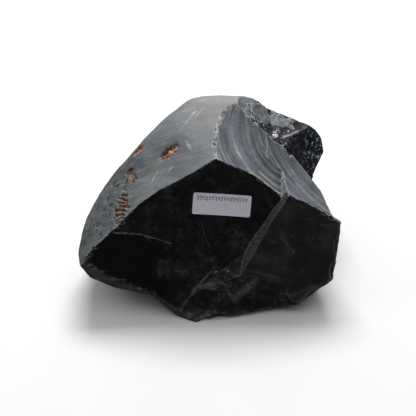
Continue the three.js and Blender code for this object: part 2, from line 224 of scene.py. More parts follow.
def wander(p, size, seed):
    """Smooth random height from -1 to 1 that changes over about size: random values at the corners
    of a grid of cubes, blended by an S-shaped curve along each axis."""
    q = p / size + 31.7 * seed
    cell = np.floor(q).astype(np.int64)
    t = q - cell
    t = t * t * (3 - 2 * t)
    total = 0.0
    for dx in (0, 1):
        for dy in (0, 1):
            for dz in (0, 1):
                x, y, z = cell[..., 0] + dx, cell[..., 1] + dy, cell[..., 2] + dz
                h = (x * 73856093) ^ (y * 19349663) ^ (z * 83492791) ^ (seed * 2654435)
                h = (h * 2246822519) & 0xFFFFFFFF
                h = ((h ^ (h >> 15)) * 3266489917) & 0xFFFFFFFF
                value = ((h ^ (h >> 13)) & 0xFFFF) / 32767.5 - 1
                weight = (t[..., 0] if dx else 1 - t[..., 0]) * (t[..., 1] if dy else 1 - t[..., 1])
                total = total + value * weight * (t[..., 2] if dz else 1 - t[..., 2])
    return total


def reach(f, start, way):
    """How far along each ray face f is: the nearer root of height + bend x² + bend y² = 0."""
    off = start - f["at"]
    w0, u0, v0 = off @ f["n"], off @ f["u"], off @ f["v"]
    w1, u1, v1 = way @ f["n"], way @ f["u"], way @ f["v"]
    square = f["ku"] * u1**2 + f["kv"] * v1**2
    slope = w1 + 2 * (f["ku"] * u0 * u1 + f["kv"] * v0 * v1)
    level = w0 + f["ku"] * u0**2 + f["kv"] * v0**2
    under_root = slope**2 - 4 * square * level
    bottom = slope + np.sqrt(np.maximum(under_root, 0))
    hit = (under_root > 0) & (bottom > 1e-4)
    return np.where(hit, -2 * level / np.where(hit, bottom, 1), FAR)


# pits in the weathered skin: middle, long way, half length, half width, depth, and how rusty
PITS = [
    ((-25.8, 14.4, 95.2), (0.65, 0.3, 0.45), 8.0, 4.3, 2.4, 1.0),
    ((-46.5, 25.8, 87.6), (0.5, 0.35, 0.4), 5.5, 2.6, 1.6, 0.9),
    ((-50.9, 7.4, 79.8), (0.2, 0.9, 0.4), 3.6, 2.2, 1.4, 0.9),
    ((-53.0, 12.2, 80.0), (0.3, 0.9, 0.5), 3.2, 2.0, 1.2, 0.3),
    ((-48.8, 3.4, 79.7), (0.6, 0.6, 0.5), 2.6, 1.5, 1.0, 0.6),
    ((-54.5, 5.0, 77.5), (0.3, 0.9, 0.5), 2.2, 1.3, 1.0, 0.3),
    ((-51.5, 13.0, 81.5), (0.5, 0.2, 0.5), 1.8, 1.1, 0.8, 0.2),
    ((-63.1, 7.5, 72.7), (0.3, 0.9, 0.5), 2.8, 1.5, 1.0, 0.3),
    ((-60.5, 4.5, 74.0), (0.6, 0.4, 0.5), 1.9, 1.2, 0.8, 0.2),
    ((-66.8, -2.3, 67.2), (0.3, 0.9, 0.5), 2.4, 1.4, 1.0, 0.4),
    ((-63.9, -8.1, 67.0), (0.6, 0.3, 0.5), 2.2, 1.3, 0.9, 0.3),
    ((-69.0, -9.0, 63.5), (0.3, 0.9, 0.5), 1.8, 1.1, 0.8, 0.3),
    ((-73.5, -17.0, 57.5), (0.3, 0.9, 0.5), 2.0, 1.2, 0.8, 0.2),
    ((-71.0, -24.5, 56.0), (0.5, 0.5, 0.5), 1.6, 1.0, 0.7, 0.4),
]
LOWER_RIGHT = np.array([0.56, -0.76, 0.0])   # down the slope of the skin, where the rust has gathered
# rusty ribbed patch by the front edge: middle, long way, half length, half width
RIB_PATCH = ((-56.6, -14.5, 69.4), (-0.22, -0.86, -0.46), 15.5, 5.4)
RIB_SPACING = 2.9


def oval(p, middle, long_way, half_long, half_wide, n):
    """Distance from an oval's middle, 1 on its rim: the square root of (x/a)² + (y/b)² in its plane."""
    along = unit(np.asarray(long_way, float) - n * (np.asarray(long_way, float) @ n))
    off = p - np.asarray(middle, float)
    return np.sqrt((off @ along / half_long) ** 2 + (off @ np.cross(n, along) / half_wide) ** 2)


def step(x, low, high):
    """0 below low, 1 above high, an S-shaped curve between."""
    t = np.clip((x - low) / (high - low), 0, 1)
    return t * t * (3 - 2 * t)


def pitting(p):
    """At each point: depth of the pits and the ribbed patch, how rusty it is, and how much painted shade
    lies in its hollows.
    """
    depth, rust, dark_streaks_and_pit_shade = np.zeros((3, *p.shape[:-1]))
    ragged = 0.25 * wander(p, 1.8, 61)
    for middle, long_way, half_long, half_wide, deep, rusty in PITS:
        inside = 1 - step(oval(p, middle, long_way, half_long, half_wide, cortex["n"]) + ragged, 0.75, 1.05)
        lower = np.asarray(middle) + 0.45 * half_wide * LOWER_RIGHT
        filled = 1 - step(oval(p, lower, long_way, half_long, half_wide, cortex["n"]) + ragged, 0.85, 1.1)
        depth = np.maximum(depth, deep * inside)
        rust = np.maximum(rust, inside * max(rusty, 0.45))
        # painted shade: each pit's hollow is darkened where no rust fills it
        dark_streaks_and_pit_shade = np.maximum(dark_streaks_and_pit_shade, inside * (1 - rusty * filled))
    middle, long_way, half_long, half_wide = RIB_PATCH
    inside = 1 - step(oval(p, middle, long_way, half_long, half_wide, cortex["n"]) + 2 * ragged, 0.6, 1.1)
    along = (p - np.asarray(middle)) @ unit(long_way)
    rib = 0.5 + 0.5 * np.sin(
        2 * np.pi * along / RIB_SPACING + 3.0 * wander(p, 6, 62) + 2.0 * wander(p, 2.4, 64))
    depth = np.maximum(depth, inside * (0.5 + 0.9 * rib))
    rust = np.maximum(rust, inside * (0.6 + 0.4 * wander(p, 4, 65)))
    # painted shade in the grooves between the patch's ribs
    dark_streaks_and_pit_shade = np.maximum(dark_streaks_and_pit_shade, inside * step(rib + 0.3 * wander(p, 3, 66), 0.5, 0.85))
    grains = 0.5 + 0.5 * wander(p, 1.1, 63)
    return depth * (1 - 0.45 * rust * grains), rust, dark_streaks_and_pit_shade


def relief(k, f, p):
    """Height of the real surface over smooth face f: slow unevenness, conchoidal ripples round the
    point where the blow struck, and pits where the skin is weathered."""
    height = f["uneven"] * (wander(p, f["swell"], k + 1) + 0.35 * wander(p, f["swell"] / 3.1, k + 2))
    if f["ripple"]:
        ring = np.linalg.norm(p - f["strike"], axis=-1) / f["wave"] + 0.5 * wander(p, 18, k + 3)
        crest = np.sin(2 * np.pi * ring) + 0.3 * np.sin(4 * np.pi * ring + 0.8)
        height = height + f["ripple"] * crest * (0.6 + 0.4 * wander(p, 15, k + 4))
    if f["skin"] == "weathered":
        height = height + 0.12 * wander(p, 3.0, k + 5)
        if f is cortex:
            height = height - pitting(p)[0]
    return height


faces = []
for blow in BLOWS:
    for each in blow:
        if not any(each is f for f in faces):
            faces.append(each)


def number(f):
    """Which face this is in the list of all faces."""
    return next(i for i, g in enumerate(faces) if g is f)


blow_faces = [[number(f) for f in blow] for blow in BLOWS]
family = np.arange(len(faces))             # faces worn together share a family number
for worn, _ in WORN_TOGETHER:
    family[[number(f) for f in worn]] = number(worn[0])
chips = []                                 # small flakes off the sharp edges, added further down
CHIP_REACH = 2.4                           # a chip cuts nothing further off than this many half lengths


def family_of(owner):
    """The family of each owner; every chip is a family of its own."""
    return np.append(family, len(faces) + np.arange(len(chips)))[owner]


def surface(way):
    """Where the stone's skin is along each direction, and whose face it is.  Distance = the least,
    over all blows, of the greatest over a blow's faces.  Between faces worn together the edge is
    rounded: where the two least are d apart, and d is under the width w, the skin goes back by
    (w - d)² / 4w."""
    start = HEART + CORE * way
    flat = np.stack([reach(f, start, way) for f in faces])
    smooth = np.min([flat[ks].max(0) for ks in blow_faces], axis=0)
    rough = flat.copy()
    for k, f in enumerate(faces):
        near = np.abs(flat[k] - smooth) < NEAR_MISS
        if near.any() and (f["uneven"] or f["ripple"]):
            p = start[near] + way[near] * flat[k][near, None]
            rough[k][near] += relief(k, f, p) / np.maximum(way[near] @ f["n"], FLATTEST)
    depth = np.stack([rough[ks].max(0) for ks in blow_faces])
    whose = np.stack([np.asarray(ks)[rough[ks].argmax(0)] for ks in blow_faces])
    for worn, width in WORN_TOGETHER:
        rows = [i for i, ks in enumerate(blow_faces) if ks[0] in [number(f) for f in worn]]
        order = np.argsort(depth[rows], axis=0)[:2]
        least, second = np.take_along_axis(depth[rows], order, 0)
        whose[rows[0]] = np.take_along_axis(whose[rows], order[:1], 0)[0]
        depth[rows[0]] = least - np.maximum(width - (second - least), 0) ** 2 / (4 * width)
        depth[rows[1:]] = FAR
    nearest = depth.argmin(0)[None]
    least = np.take_along_axis(depth, nearest, 0)[0]
    owner = np.take_along_axis(whose, nearest, 0)[0]
    where = start + way * least[:, None]
    for j, f in enumerate(chips):
        near = np.flatnonzero(((where - f["at"]) ** 2).sum(-1) < (CHIP_REACH * f["size"]) ** 2)
        cut = reach(f, start[near], way[near])
        deeper = cut < least[near]
        least[near[deeper]] = cut[deeper]
        owner[near[deeper]] = len(faces) + j
    return start + way * least[:, None], owner


HALVINGS = 7
NOWHERE = 9.0                              # stands for no crossing; a real one is from 0 to 1


def crease_shift(way_a, way_b, owner_a, owner_b):
    """How far along from a to b (0 to 1) the two faces cross, found by halving the stretch, or
    NOWHERE if they don't."""
    everything = faces + chips

    def gap(t):
        way = unit(way_a + (way_b - way_a) * t[:, None])
        start = HEART + CORE * way
        out = np.zeros(len(t))
        for sign, owner in ((1, owner_a), (-1, owner_b)):
            for k in np.unique(owner):
                pick = owner == k
                f = everything[k]
                r = reach(f, start[pick], way[pick])
                if k < len(faces):
                    p = start[pick] + way[pick] * r[:, None]
                    r = r + relief(k, f, p) / np.maximum(way[pick] @ f["n"], FLATTEST)
                out[pick] += sign * r
        return out

    low, high = np.zeros(len(way_a)), np.ones(len(way_a))
    first = gap(low)
    crosses = first * gap(high) < 0
    for _ in range(HALVINGS):
        middle = (low + high) / 2
        same = gap(middle) * first > 0
        low, high = np.where(same, middle, low), np.where(same, high, middle)
    return np.where(crosses, (low + high) / 2, NOWHERE)


CELLS = 126          # squares along one side of the cube of rays
CROWDED = np.array([-0.10, -0.26, 0.18])   # rays crowd this way, towards the broken front


def cube_of_rays(cells):
    """Directions through a cube's six sides, evenly spaced in angle, with the squares that join them."""
    line = np.tan(np.linspace(-np.pi / 4, np.pi / 4, cells + 1))
    a, b = np.meshgrid(line, line, indexing="ij")
    sides, squares = [], []
    index = np.arange((cells + 1) ** 2).reshape(cells + 1, cells + 1)
    quad = np.stack([index[:-1, :-1], index[1:, :-1], index[1:, 1:], index[:-1, 1:]], -1).reshape(-1, 4)
    for axis in range(3):
        for sign in (1, -1):
            xyz = [None] * 3
            xyz[axis], xyz[(axis + 1) % 3], xyz[(axis + 2) % 3] = np.full_like(a, sign), a, b
            squares.append((quad if sign > 0 else quad[:, ::-1]) + len(sides) * (cells + 1) ** 2)
            sides.append(unit(np.stack(xyz, -1)).reshape(-1, 3))
    ways = np.concatenate(sides)
    ways = unit(ways + CROWDED)
    _, first, merged = np.unique(np.round(ways, 7), axis=0, return_index=True, return_inverse=True)
    return ways[first], merged.reshape(-1)[np.concatenate(squares)]


ways, squares = cube_of_rays(CELLS)
points, owner = surface(ways)
sides = np.concatenate([squares[:, [i, (i + 1) % 4]] for i in range(4)])
sides = np.unique(np.sort(sides, axis=1), axis=0)

# Chips: where two faces meet in a sharp edge, small flakes have sprung off along it.
dice = np.random.default_rng(11)


def chip_edge(a, b, count, size, skin="fresh"):
    """Small dishes at random places on the edge between faces a and b, looking out between them."""
    pair = np.sort(owner[sides], axis=1)
    spots = points[sides[(pair == sorted((number(a), number(b)))).all(1), 0]]
    if len(spots) == 0:
        return
    for spot in spots[dice.integers(0, len(spots), count)]:
        half_long = size * dice.uniform(0.5, 1.5)
        way = unit(a["n"] + b["n"] + dice.normal(0, 0.35, 3))
        dish = scar(spot + dice.normal(0, 0.3, 3), way, dice.normal(0, 1, 3), half_long,
                    half_long * dice.uniform(0.5, 0.9), half_long * dice.uniform(0.16, 0.3), skin,
                    uneven=0, ripple=0)
        dish["size"] = half_long
        chips.append(dish)


chip_edge(front_hollow, cortex, 12, 0.8)
chip_edge(deep_scallop, cortex, 6, 0.8)
chip_edge(front_hollow, ribbed_scar, 12, 0.9)
chip_edge(ribbed_scar, cortex, 24, 1.2, "ribbed")
chip_edge(ribbed_bowl, cortex, 30, 1.0, "ribbed")
chip_edge(plate, right_end, 26, 3.6, "dull")
chip_edge(plate, low_corner, 12, 3.6, "dull")
chip_edge(plate, low_right, 12, 4.0, "dull")
chip_edge(plate, ribbed_tail, 8, 1.2)
chip_edge(front_hollow, under_right, 12, 3.0)
chip_edge(deep_scallop, under_strip, 14, 1.2)
for one in (lobe_face, shelf, crest_side, crest_top, dark_band, dark_dish, shelf_end):
    for other in (lobe_end, lobe_shoulder, back_top, back, saddle, crest_side, crest_top, shelf):
        if one is not other:
            chip_edge(one, other, 3, 1.3, "hackled")

# Where a side of a square crosses a crease, its nearer end moves on to the crease.  An end with
# several crossings takes the nearest, which comes last.
points, owner = surface(ways)
edge = sides[family_of(owner[sides[:, 0]]) != family_of(owner[sides[:, 1]])]
t = crease_shift(ways[edge[:, 0]], ways[edge[:, 1]], owner[edge[:, 0]], owner[edge[:, 1]])
moved = np.concatenate([edge[:, 0], edge[:, 1]])
towards = np.concatenate([edge[:, 1], edge[:, 0]])
share = np.concatenate([t, 1 - t])
share[(share < 0) | (share > 0.5)] = NOWHERE
order = np.argsort(-share)
order = order[share[order] < 1]
moved, towards, share = moved[order], towards[order], share[order, None]
snapped = ways.copy()
snapped[moved] = unit(ways[moved] + share * (ways[towards] - ways[moved]))
ways = snapped
points, owner = surface(ways)

# Each square is split along the diagonal that lies closer to the true surface.
middle = surface(unit(ways[squares].sum(1)))[0]
one = np.linalg.norm(points[squares[:, [0, 2]]].mean(1) - middle, axis=1)
other = np.linalg.norm(points[squares[:, [1, 3]]].mean(1) - middle, axis=1)
triangles = np.where((one < other)[:, None], squares[:, [0, 1, 2, 0, 2, 3]], squares[:, [0, 1, 3, 1, 2, 3]])
triangles = triangles.reshape(-1, 3)
triangle_owner = surface(unit(ways[triangles].sum(1)))[1]

# ------------------------------------------------------------------ the stone: its glass and its skin
# Seven finishes on one lump.  A fresh break is a black mirror, an older one is rubbed to a satin, and
# the oldest has weathered to a grey skin.  The attributes they read are put on the mesh further down.
def srgb(code):
    """A hex colour as linear red, green, blue, alpha: each channel by the sRGB curve."""
    c = np.array([int(code[i:i + 2], 16) for i in (1, 3, 5)]) / 255
    return (*np.where(c <= 0.04045, c / 12.92, ((c + 0.055) / 1.055) ** 2.4).tolist(), 1.0)


def add(tree, kind, inputs=(), stops=(), **settings):
    """Adds one node with its settings and links.  An input takes a number, a hex colour, a socket, or
    a node, which means its first socket in use; stops are the places and colours of a colour ramp."""
    node = tree.nodes.new("ShaderNode" + kind)
    for name, value in settings.items():
        setattr(node, name, value)
    for name, value in dict(inputs).items():
        if isinstance(value, bpy.types.Node):
            value = next(socket for socket in value.outputs if socket.enabled)
        if isinstance(value, bpy.types.NodeSocket):
            tree.links.new(value, node.inputs[name])
        else:
            node.inputs[name].default_value = srgb(value) if isinstance(value, str) else value
    if stops:
        marks = node.color_ramp.elements
        while len(marks) < len(stops):
            marks.new(0.5)
        for mark, (place, colour) in zip(marks, stops):
            mark.position = place
            mark.color = srgb(colour) if isinstance(colour, str) else (colour, colour, colour, 1)
    return node


def new_material(name, *attributes):
    """An empty material, its nodes, the piece's coordinates in metres, and its mesh's attributes."""
    material = bpy.data.materials.new(name)
    material.use_nodes = True
    tree = material.node_tree
    tree.nodes.clear()
    here = add(tree, "TexCoord").outputs["Object"]
    return material, tree, here, *[add(tree, "Attribute", attribute_name=each) for each in attributes]


MIX = dict(data_type="RGBA", clamp_factor=True)      # a mix node's sockets 0, 6, 7: share, colour, colour


def fresh_glass():
    """Freshly broken obsidian: jet black and mirror smooth, under a thin uneven film of dust, with painted
    paler reflections, painted edge highlights and painted glints over it in places.
    """
    material, tree, here, dust_and_painted_reflection, edge, stain_and_brown_reflection, mark = new_material(
        "fresh_obsidian_glass", "dust_and_painted_reflection", "edge_wear_and_highlight", "stain_and_brown_reflection", "mark")
    film = add(tree, "TexNoise", {"Vector": here, "Scale": 1 / (7 * MM), "Detail": 7, "Roughness": 0.7,
                                  "Distortion": 0.35})
    film = add(tree, "ValToRGB", {"Fac": film}, ((0.38, 0.10), (0.52, 0.38), (0.66, 1.15)))
    film = add(tree, "Math", {0: film, 1: dust_and_painted_reflection}, operation="MULTIPLY")
    # real grit is finer than these 1.6 mm, which is as fine as shows
    grit = add(tree, "TexNoise", {"Vector": here, "Scale": 1 / (1.6 * MM), "Detail": 2, "Roughness": 0.6})
    grit = add(tree, "ValToRGB", {"Fac": grit}, ((0.66, 0.0), (0.76, 0.45)))
    grit = add(tree, "Math", {0: grit, 1: dust_and_painted_reflection}, operation="MULTIPLY")
    broken = add(tree, "TexNoise", {"Vector": here, "Scale": 1 / (3.2 * MM), "Detail": 3, "Roughness": 0.7})
    broken = add(tree, "ValToRGB", {"Fac": broken}, ((0.46, 0.06), (0.66, 0.8)))
    edge = add(tree, "Math", {0: edge, 1: broken}, operation="MULTIPLY")
    broken = add(tree, "Math", {0: broken, 1: 0.7, 2: 0.4}, operation="MULTIPLY_ADD")
    mark = add(tree, "Math", {0: mark, 1: broken}, operation="MULTIPLY")
    # film and grit are dust, thickened in two patches into painted paler reflections; edge paints pale
    # chipped edges with painted highlights; stain carries brown stains and one painted brownish reflection;
    # mark carries scratches, painted highlights and painted glints
    colour = "#060607"
    for share, over in ((film, "#3a3a3f"), (grit, "#6d6d70"), (edge, "#7a7b80"), (stain_and_brown_reflection, "#3b3026"),
                        (mark, "#b4b2b8")):
        colour = add(tree, "Mix", {0: share, 6: colour, 7: over}, **MIX)
    rough = add(tree, "Math", {0: film, 1: 0.3, 2: 0.07}, operation="MULTIPLY_ADD")
    wave = add(tree, "TexNoise", {"Vector": here, "Scale": 1 / (9 * MM), "Detail": 2, "Roughness": 0.4})
    wave = add(tree, "Bump", {"Height": wave, "Distance": 0.3 * MM})
    gloss = add(tree, "BsdfPrincipled", {"Base Color": colour, "Roughness": rough, "IOR": 1.49,
                                         "Normal": wave})
    add(tree, "OutputMaterial", {"Surface": gloss})
    return material


def hackled_glass():
    """Splintered obsidian: many tiny curved breaks side by side, each a mirror, in a bluish dark grey
    lifted as a painted soft reflection, with painted bluish-white glints, pale crushed specks, in places.
    """
    material, tree, here, painted_glint_amount, mark = new_material("hackled_obsidian", "painted_glint_amount", "mark")
    splinters = add(tree, "TexVoronoi", {"Vector": here, "Scale": 1 / (6.5 * MM)})
    crumbs = add(tree, "TexNoise", {"Vector": here, "Scale": 1 / (3.2 * MM), "Detail": 3, "Roughness": 0.6,
                                    "Distortion": 1.6})
    # painted glints: bluish-white specks mixed into the colour where the splintered glass should sparkle
    painted_glint_specks = add(tree, "ValToRGB", {"Fac": crumbs}, ((0.58, 0.0), (0.65, 1.0)))
    painted_glint_specks = add(tree, "Math", {0: painted_glint_specks, 1: painted_glint_amount}, operation="MULTIPLY")
    colour = "#191b21"
    for share, over in ((painted_glint_specks, "#b4c0d8"), (mark, "#b9b2a8")):
        colour = add(tree, "Mix", {0: share, 6: colour, 7: over}, **MIX)
    facets = add(tree, "Bump", {"Height": splinters, "Distance": 1.3 * MM})
    facets = add(tree, "Bump", {"Height": crumbs, "Distance": 0.07 * MM, "Normal": facets})
    gloss = add(tree, "BsdfPrincipled", {"Base Color": colour, "Roughness": 0.12, "IOR": 1.49,
                                         "Normal": facets})
    add(tree, "OutputMaterial", {"Surface": gloss})
    return material


def dull_glass():
    """An older break: charcoal grey, rubbed to a satin, with fine scratches, pale specks, and pale worn
    edges with painted highlights along its creases.
    """
    material, tree, here, edge, mark = new_material("old_dulled_glass", "edge_wear_and_highlight", "mark")
    cloud = add(tree, "TexNoise", {"Vector": here, "Scale": 1 / (14 * MM), "Detail": 6, "Roughness": 0.62,
                                   "Distortion": 0.4})
    colour = add(tree, "ValToRGB", {"Fac": cloud},
                 ((0.32, "#151518"), (0.52, "#232327"), (0.70, "#38383d")))
    drawn = add(tree, "Mapping", {"Vector": here, "Rotation": (0.2, 0.7, 0.4), "Scale": (1, 11, 1)})
    lines = add(tree, "TexNoise", {"Vector": drawn, "Scale": 1 / (10 * MM), "Detail": 2})
    lines = add(tree, "ValToRGB", {"Fac": lines}, ((0.66, 0.0), (0.72, 0.14)))
    # real specks are finer than these 1.7 mm, which is as fine as shows
    specks = add(tree, "TexNoise", {"Vector": here, "Scale": 1 / (1.7 * MM), "Detail": 2, "Roughness": 0.7})
    specks = add(tree, "ValToRGB", {"Fac": specks}, ((0.69, 0.0), (0.76, 0.45)))
    for more in (lines, specks):
        mark = add(tree, "Math", {0: mark, 1: more}, operation="MAXIMUM")
    # painted edge highlight, with pale wear, along the sharp creases
    edge = add(tree, "Math", {0: edge, 1: cloud}, operation="MULTIPLY")
    for share, over in ((mark, "#85868b"), (edge, "#6c6e73")):
        colour = add(tree, "Mix", {0: share, 6: colour, 7: over}, **MIX)
    rough = add(tree, "Math", {0: cloud, 1: 0.25, 2: 0.30}, operation="MULTIPLY_ADD")
    fine = add(tree, "TexNoise", {"Vector": here, "Scale": 1 / (1.5 * MM), "Detail": 4, "Roughness": 0.6})
    fine = add(tree, "Bump", {"Height": fine, "Distance": 0.05 * MM})
    slow = add(tree, "Bump", {"Height": cloud, "Distance": 0.5 * MM, "Normal": fine})
    gloss = add(tree, "BsdfPrincipled", {"Base Color": colour, "Roughness": rough, "IOR": 1.49,
                                         "Normal": slow})
    add(tree, "OutputMaterial", {"Surface": gloss})
    return material


def bevel_glass():
    """The narrow step beside the old break: ground grey, with fine lines running along it and a painted
    highlight along its sharp edge.
    """
    material, tree, here, edge = new_material("striated_step", "edge_wear_and_highlight")
    drawn = add(tree, "Mapping", {"Vector": here, "Rotation": (0.0, -1.03, 0.63), "Scale": (0.06, 1, 1)})
    lines = add(tree, "TexNoise", {"Vector": drawn, "Scale": 1 / (1.2 * MM), "Detail": 3})
    colour = add(tree, "ValToRGB", {"Fac": lines},
                 ((0.35, "#232427"), (0.52, "#393a3e"), (0.70, "#606165")))
    # painted edge highlight, with pale wear, along the sharp creases
    edge = add(tree, "Math", {0: edge, 1: lines}, operation="MULTIPLY")
    colour = add(tree, "Mix", {0: edge, 6: colour, 7: "#85868a"}, **MIX)
    grooves = add(tree, "Bump", {"Height": lines, "Distance": 0.15 * MM})
    gloss = add(tree, "BsdfPrincipled", {"Base Color": colour, "Roughness": 0.45, "IOR": 1.49,
                                         "Normal": grooves})
    add(tree, "OutputMaterial", {"Surface": gloss})
    return material


def weathered_skin():
    """The old outer skin: smooth matte grey, rubbed and scratched, with rust in its pits; painted paler on
    top as if lit from above, with painted shade in its pits and pale worn edges with painted highlights.
    """
    material, tree, here, worn, stain_and_brown_reflection, scratch_and_highlight, pocked, rust, hollow, edge = new_material(
        "weathered_grey_skin", "worn", "stain_and_brown_reflection", "mark", "pocked", "rust", "dark_streaks_and_pit_shade", "edge_wear_and_highlight")
    broad = add(tree, "TexNoise", {"Vector": here, "Scale": 1 / (26 * MM), "Detail": 4, "Distortion": 0.3})
    colour = add(tree, "ValToRGB", {"Fac": broad}, ((0.32, "#4c5258"), (0.5, "#5b6167"), (0.68, "#6e7275")))
    drawn = add(tree, "Mapping", {"Vector": here, "Rotation": (0.3, 0.5, 0.6), "Scale": (1, 7, 1)})
    hairs = add(tree, "TexNoise", {"Vector": drawn, "Scale": 1 / (16 * MM), "Detail": 7, "Roughness": 0.74})
    pale = add(tree, "ValToRGB", {"Fac": hairs}, ((0.50, 0.0), (0.72, 0.6)))
    dark_streaks_and_pit_shade = add(tree, "ValToRGB", {"Fac": hairs}, ((0.26, 0.6), (0.46, 0.0)))
    broken = add(tree, "ValToRGB", {"Fac": hairs}, ((0.3, 0.35), (0.7, 1.0)))
    scratch_and_highlight = add(tree, "Math", {0: scratch_and_highlight, 1: broken}, operation="MULTIPLY")
    dirt = add(tree, "TexNoise", {"Vector": here, "Scale": 1 / (5 * MM), "Detail": 6, "Roughness": 0.7})
    dirt = add(tree, "ValToRGB", {"Fac": dirt}, ((0.42, 0.0), (0.60, 0.8)))
    dirt = add(tree, "Math", {0: dirt, 1: pocked}, operation="MULTIPLY")
    # real pores are finer than these 2.9 mm, and so is the rust's 1.3 mm grain: both are as fine as shows
    pores = add(tree, "TexVoronoi", {"Vector": here, "Scale": 1 / (2.9 * MM)})
    pores = add(tree, "ValToRGB", {"Fac": pores}, ((0.15, 1.0), (0.24, 0.0)))
    many = add(tree, "Math", {0: pocked, 1: 0.85, 2: 0.05}, operation="MULTIPLY_ADD")
    pores = add(tree, "Math", {0: pores, 1: many}, operation="MULTIPLY")
    grains = add(tree, "TexVoronoi", {"Vector": here, "Scale": 1 / (1.3 * MM)})
    grains = add(tree, "ValToRGB", {"Fac": grains.outputs["Color"]},
                 ((0.18, "#22150e"), (0.38, "#6b3d28"), (0.60, "#a36446"), (0.85, "#cda686")))
    filled = add(tree, "ValToRGB", {"Fac": rust}, ((0.42, 0.0), (0.62, 1.0)))
    crust = add(tree, "ValToRGB", {"Fac": rust}, ((0.05, 0.0), (0.22, 0.35), (0.40, 0.0)))
    edge = add(tree, "Math", {0: edge, 1: hairs}, operation="MULTIPLY")
    # worn paints the top paler as if lit from above, hollow paints shade into the pits, and edge paints
    # pale worn edges with highlights along the creases
    for share, over in ((pale, "#93979a"), (dark_streaks_and_pit_shade, "#3c4146"), (worn, "#98999a"), (stain_and_brown_reflection, "#7a765c"),
                        (scratch_and_highlight, "#cfcec8"), (dirt, "#474742"), (pores, "#191715"), (filled, grains),
                        (crust, "#c3baa2"), (hollow, "#120e0b"), (edge, "#aeaea8")):
        colour = add(tree, "Mix", {0: share, 6: colour, 7: over}, **MIX)
    rough = add(tree, "Math", {0: hairs, 1: 0.3, 2: 0.42}, operation="MULTIPLY_ADD")
    fine = add(tree, "TexNoise", {"Vector": here, "Scale": 1 / (1.3 * MM), "Detail": 5, "Roughness": 0.65})
    fine = add(tree, "Bump", {"Height": fine, "Distance": 0.10 * MM})
    drawn = add(tree, "Bump", {"Height": hairs, "Distance": 0.3 * MM, "Normal": fine})
    holes = add(tree, "Bump", {"Height": pores, "Distance": 0.6 * MM, "Normal": drawn}, invert=True)
    gloss = add(tree, "BsdfPrincipled", {"Base Color": colour, "Roughness": rough, "IOR": 1.46,
                                         "Normal": holes})
    add(tree, "OutputMaterial", {"Surface": gloss})
    return material


def ribbed_skin():
    """A large old flake scar: bluish grey satin with curved ribs spreading from where it was struck, their
    light and dark bands partly its own tone and partly painted sheen, with painted highlights along its
    edges.
    """
    material, tree, here, rings, edge, scratch_and_highlight, stain_and_brown_reflection = new_material(
        "ribbed_grey_scar", "sweep", "edge_wear_and_highlight", "mark", "stain_and_brown_reflection")
    # the rings are already in millimetres: ribs 1 / 0.55 = 1.8 mm apart and 1 / 0.03 = 33 mm long
    bent = add(tree, "Mapping", {"Vector": rings, "Scale": (0.55, 0.03, 1)})
    bands = add(tree, "TexNoise", {"Vector": bent, "Scale": 1.0, "Detail": 5, "Roughness": 0.6,
                                   "Distortion": 0.15})
    # partly painted sheen: the colour runs light and dark along the ribs
    colour = add(tree, "ValToRGB", {"Fac": bands},
                 ((0.28, "#33373e"), (0.44, "#555a62"), (0.58, "#777d85"), (0.74, "#a9adb0")))
    broad = add(tree, "TexNoise", {"Vector": here, "Scale": 1 / (15 * MM), "Detail": 3})
    broad = add(tree, "ValToRGB", {"Fac": broad}, ((0.4, 0.0), (0.65, 0.5)))
    crazed = add(tree, "TexNoise", {"Vector": here, "Scale": 1 / (3.2 * MM), "Detail": 6,
                                    "Roughness": 0.75})
    crazed = add(tree, "ValToRGB", {"Fac": crazed}, ((0.34, 0.6), (0.52, 0.0)))
    # pale worn edges with painted highlights along the creases
    edge = add(tree, "Math", {0: edge, 1: bands}, operation="MULTIPLY")
    for share, over in ((broad, "#7f848a"), (crazed, "#3a3e45"), (edge, "#d0cfc8"), (scratch_and_highlight, "#cfcdc4"),
                        (stain_and_brown_reflection, "#7d6a52")):
        colour = add(tree, "Mix", {0: share, 6: colour, 7: over}, **MIX)
    rough = add(tree, "Math", {0: bands, 1: 0.2, 2: 0.32}, operation="MULTIPLY_ADD")
    fine = add(tree, "TexNoise", {"Vector": here, "Scale": 1 / (1.2 * MM), "Detail": 4, "Roughness": 0.6})
    fine = add(tree, "Bump", {"Height": fine, "Distance": 0.05 * MM})
    ribs = add(tree, "Bump", {"Height": bands, "Distance": 0.5 * MM, "Normal": fine})
    gloss = add(tree, "BsdfPrincipled", {"Base Color": colour, "Roughness": rough, "IOR": 1.49,
                                         "Normal": ribs})
    add(tree, "OutputMaterial", {"Surface": gloss})
    return material


def under_skin():
    """The underside: dull brownish grey, earthy and slightly rough."""
    material, tree, here = new_material("earthy_underside")
    cloud = add(tree, "TexNoise", {"Vector": here, "Scale": 1 / (6 * MM), "Detail": 6, "Roughness": 0.65})
    colour = add(tree, "ValToRGB", {"Fac": cloud}, ((0.3, "#211f1d"), (0.5, "#34312f"), (0.7, "#49453f")))
    fine = add(tree, "TexNoise", {"Vector": here, "Scale": 1 / (1.6 * MM), "Detail": 5, "Roughness": 0.7})
    fine = add(tree, "Bump", {"Height": fine, "Distance": 0.2 * MM})
    gloss = add(tree, "BsdfPrincipled", {"Base Color": colour, "Roughness": 0.7, "IOR": 1.46,
                                         "Normal": fine})
    add(tree, "OutputMaterial", {"Surface": gloss})
    return material


SKINS = {
    "fresh": fresh_glass(),
    "hackled": hackled_glass(),
    "dull": dull_glass(),
    "bevel": bevel_glass(),
    "weathered": weathered_skin(),
    "ribbed": ribbed_skin(),
    "under": under_skin(),
}
skin_names = list(SKINS)
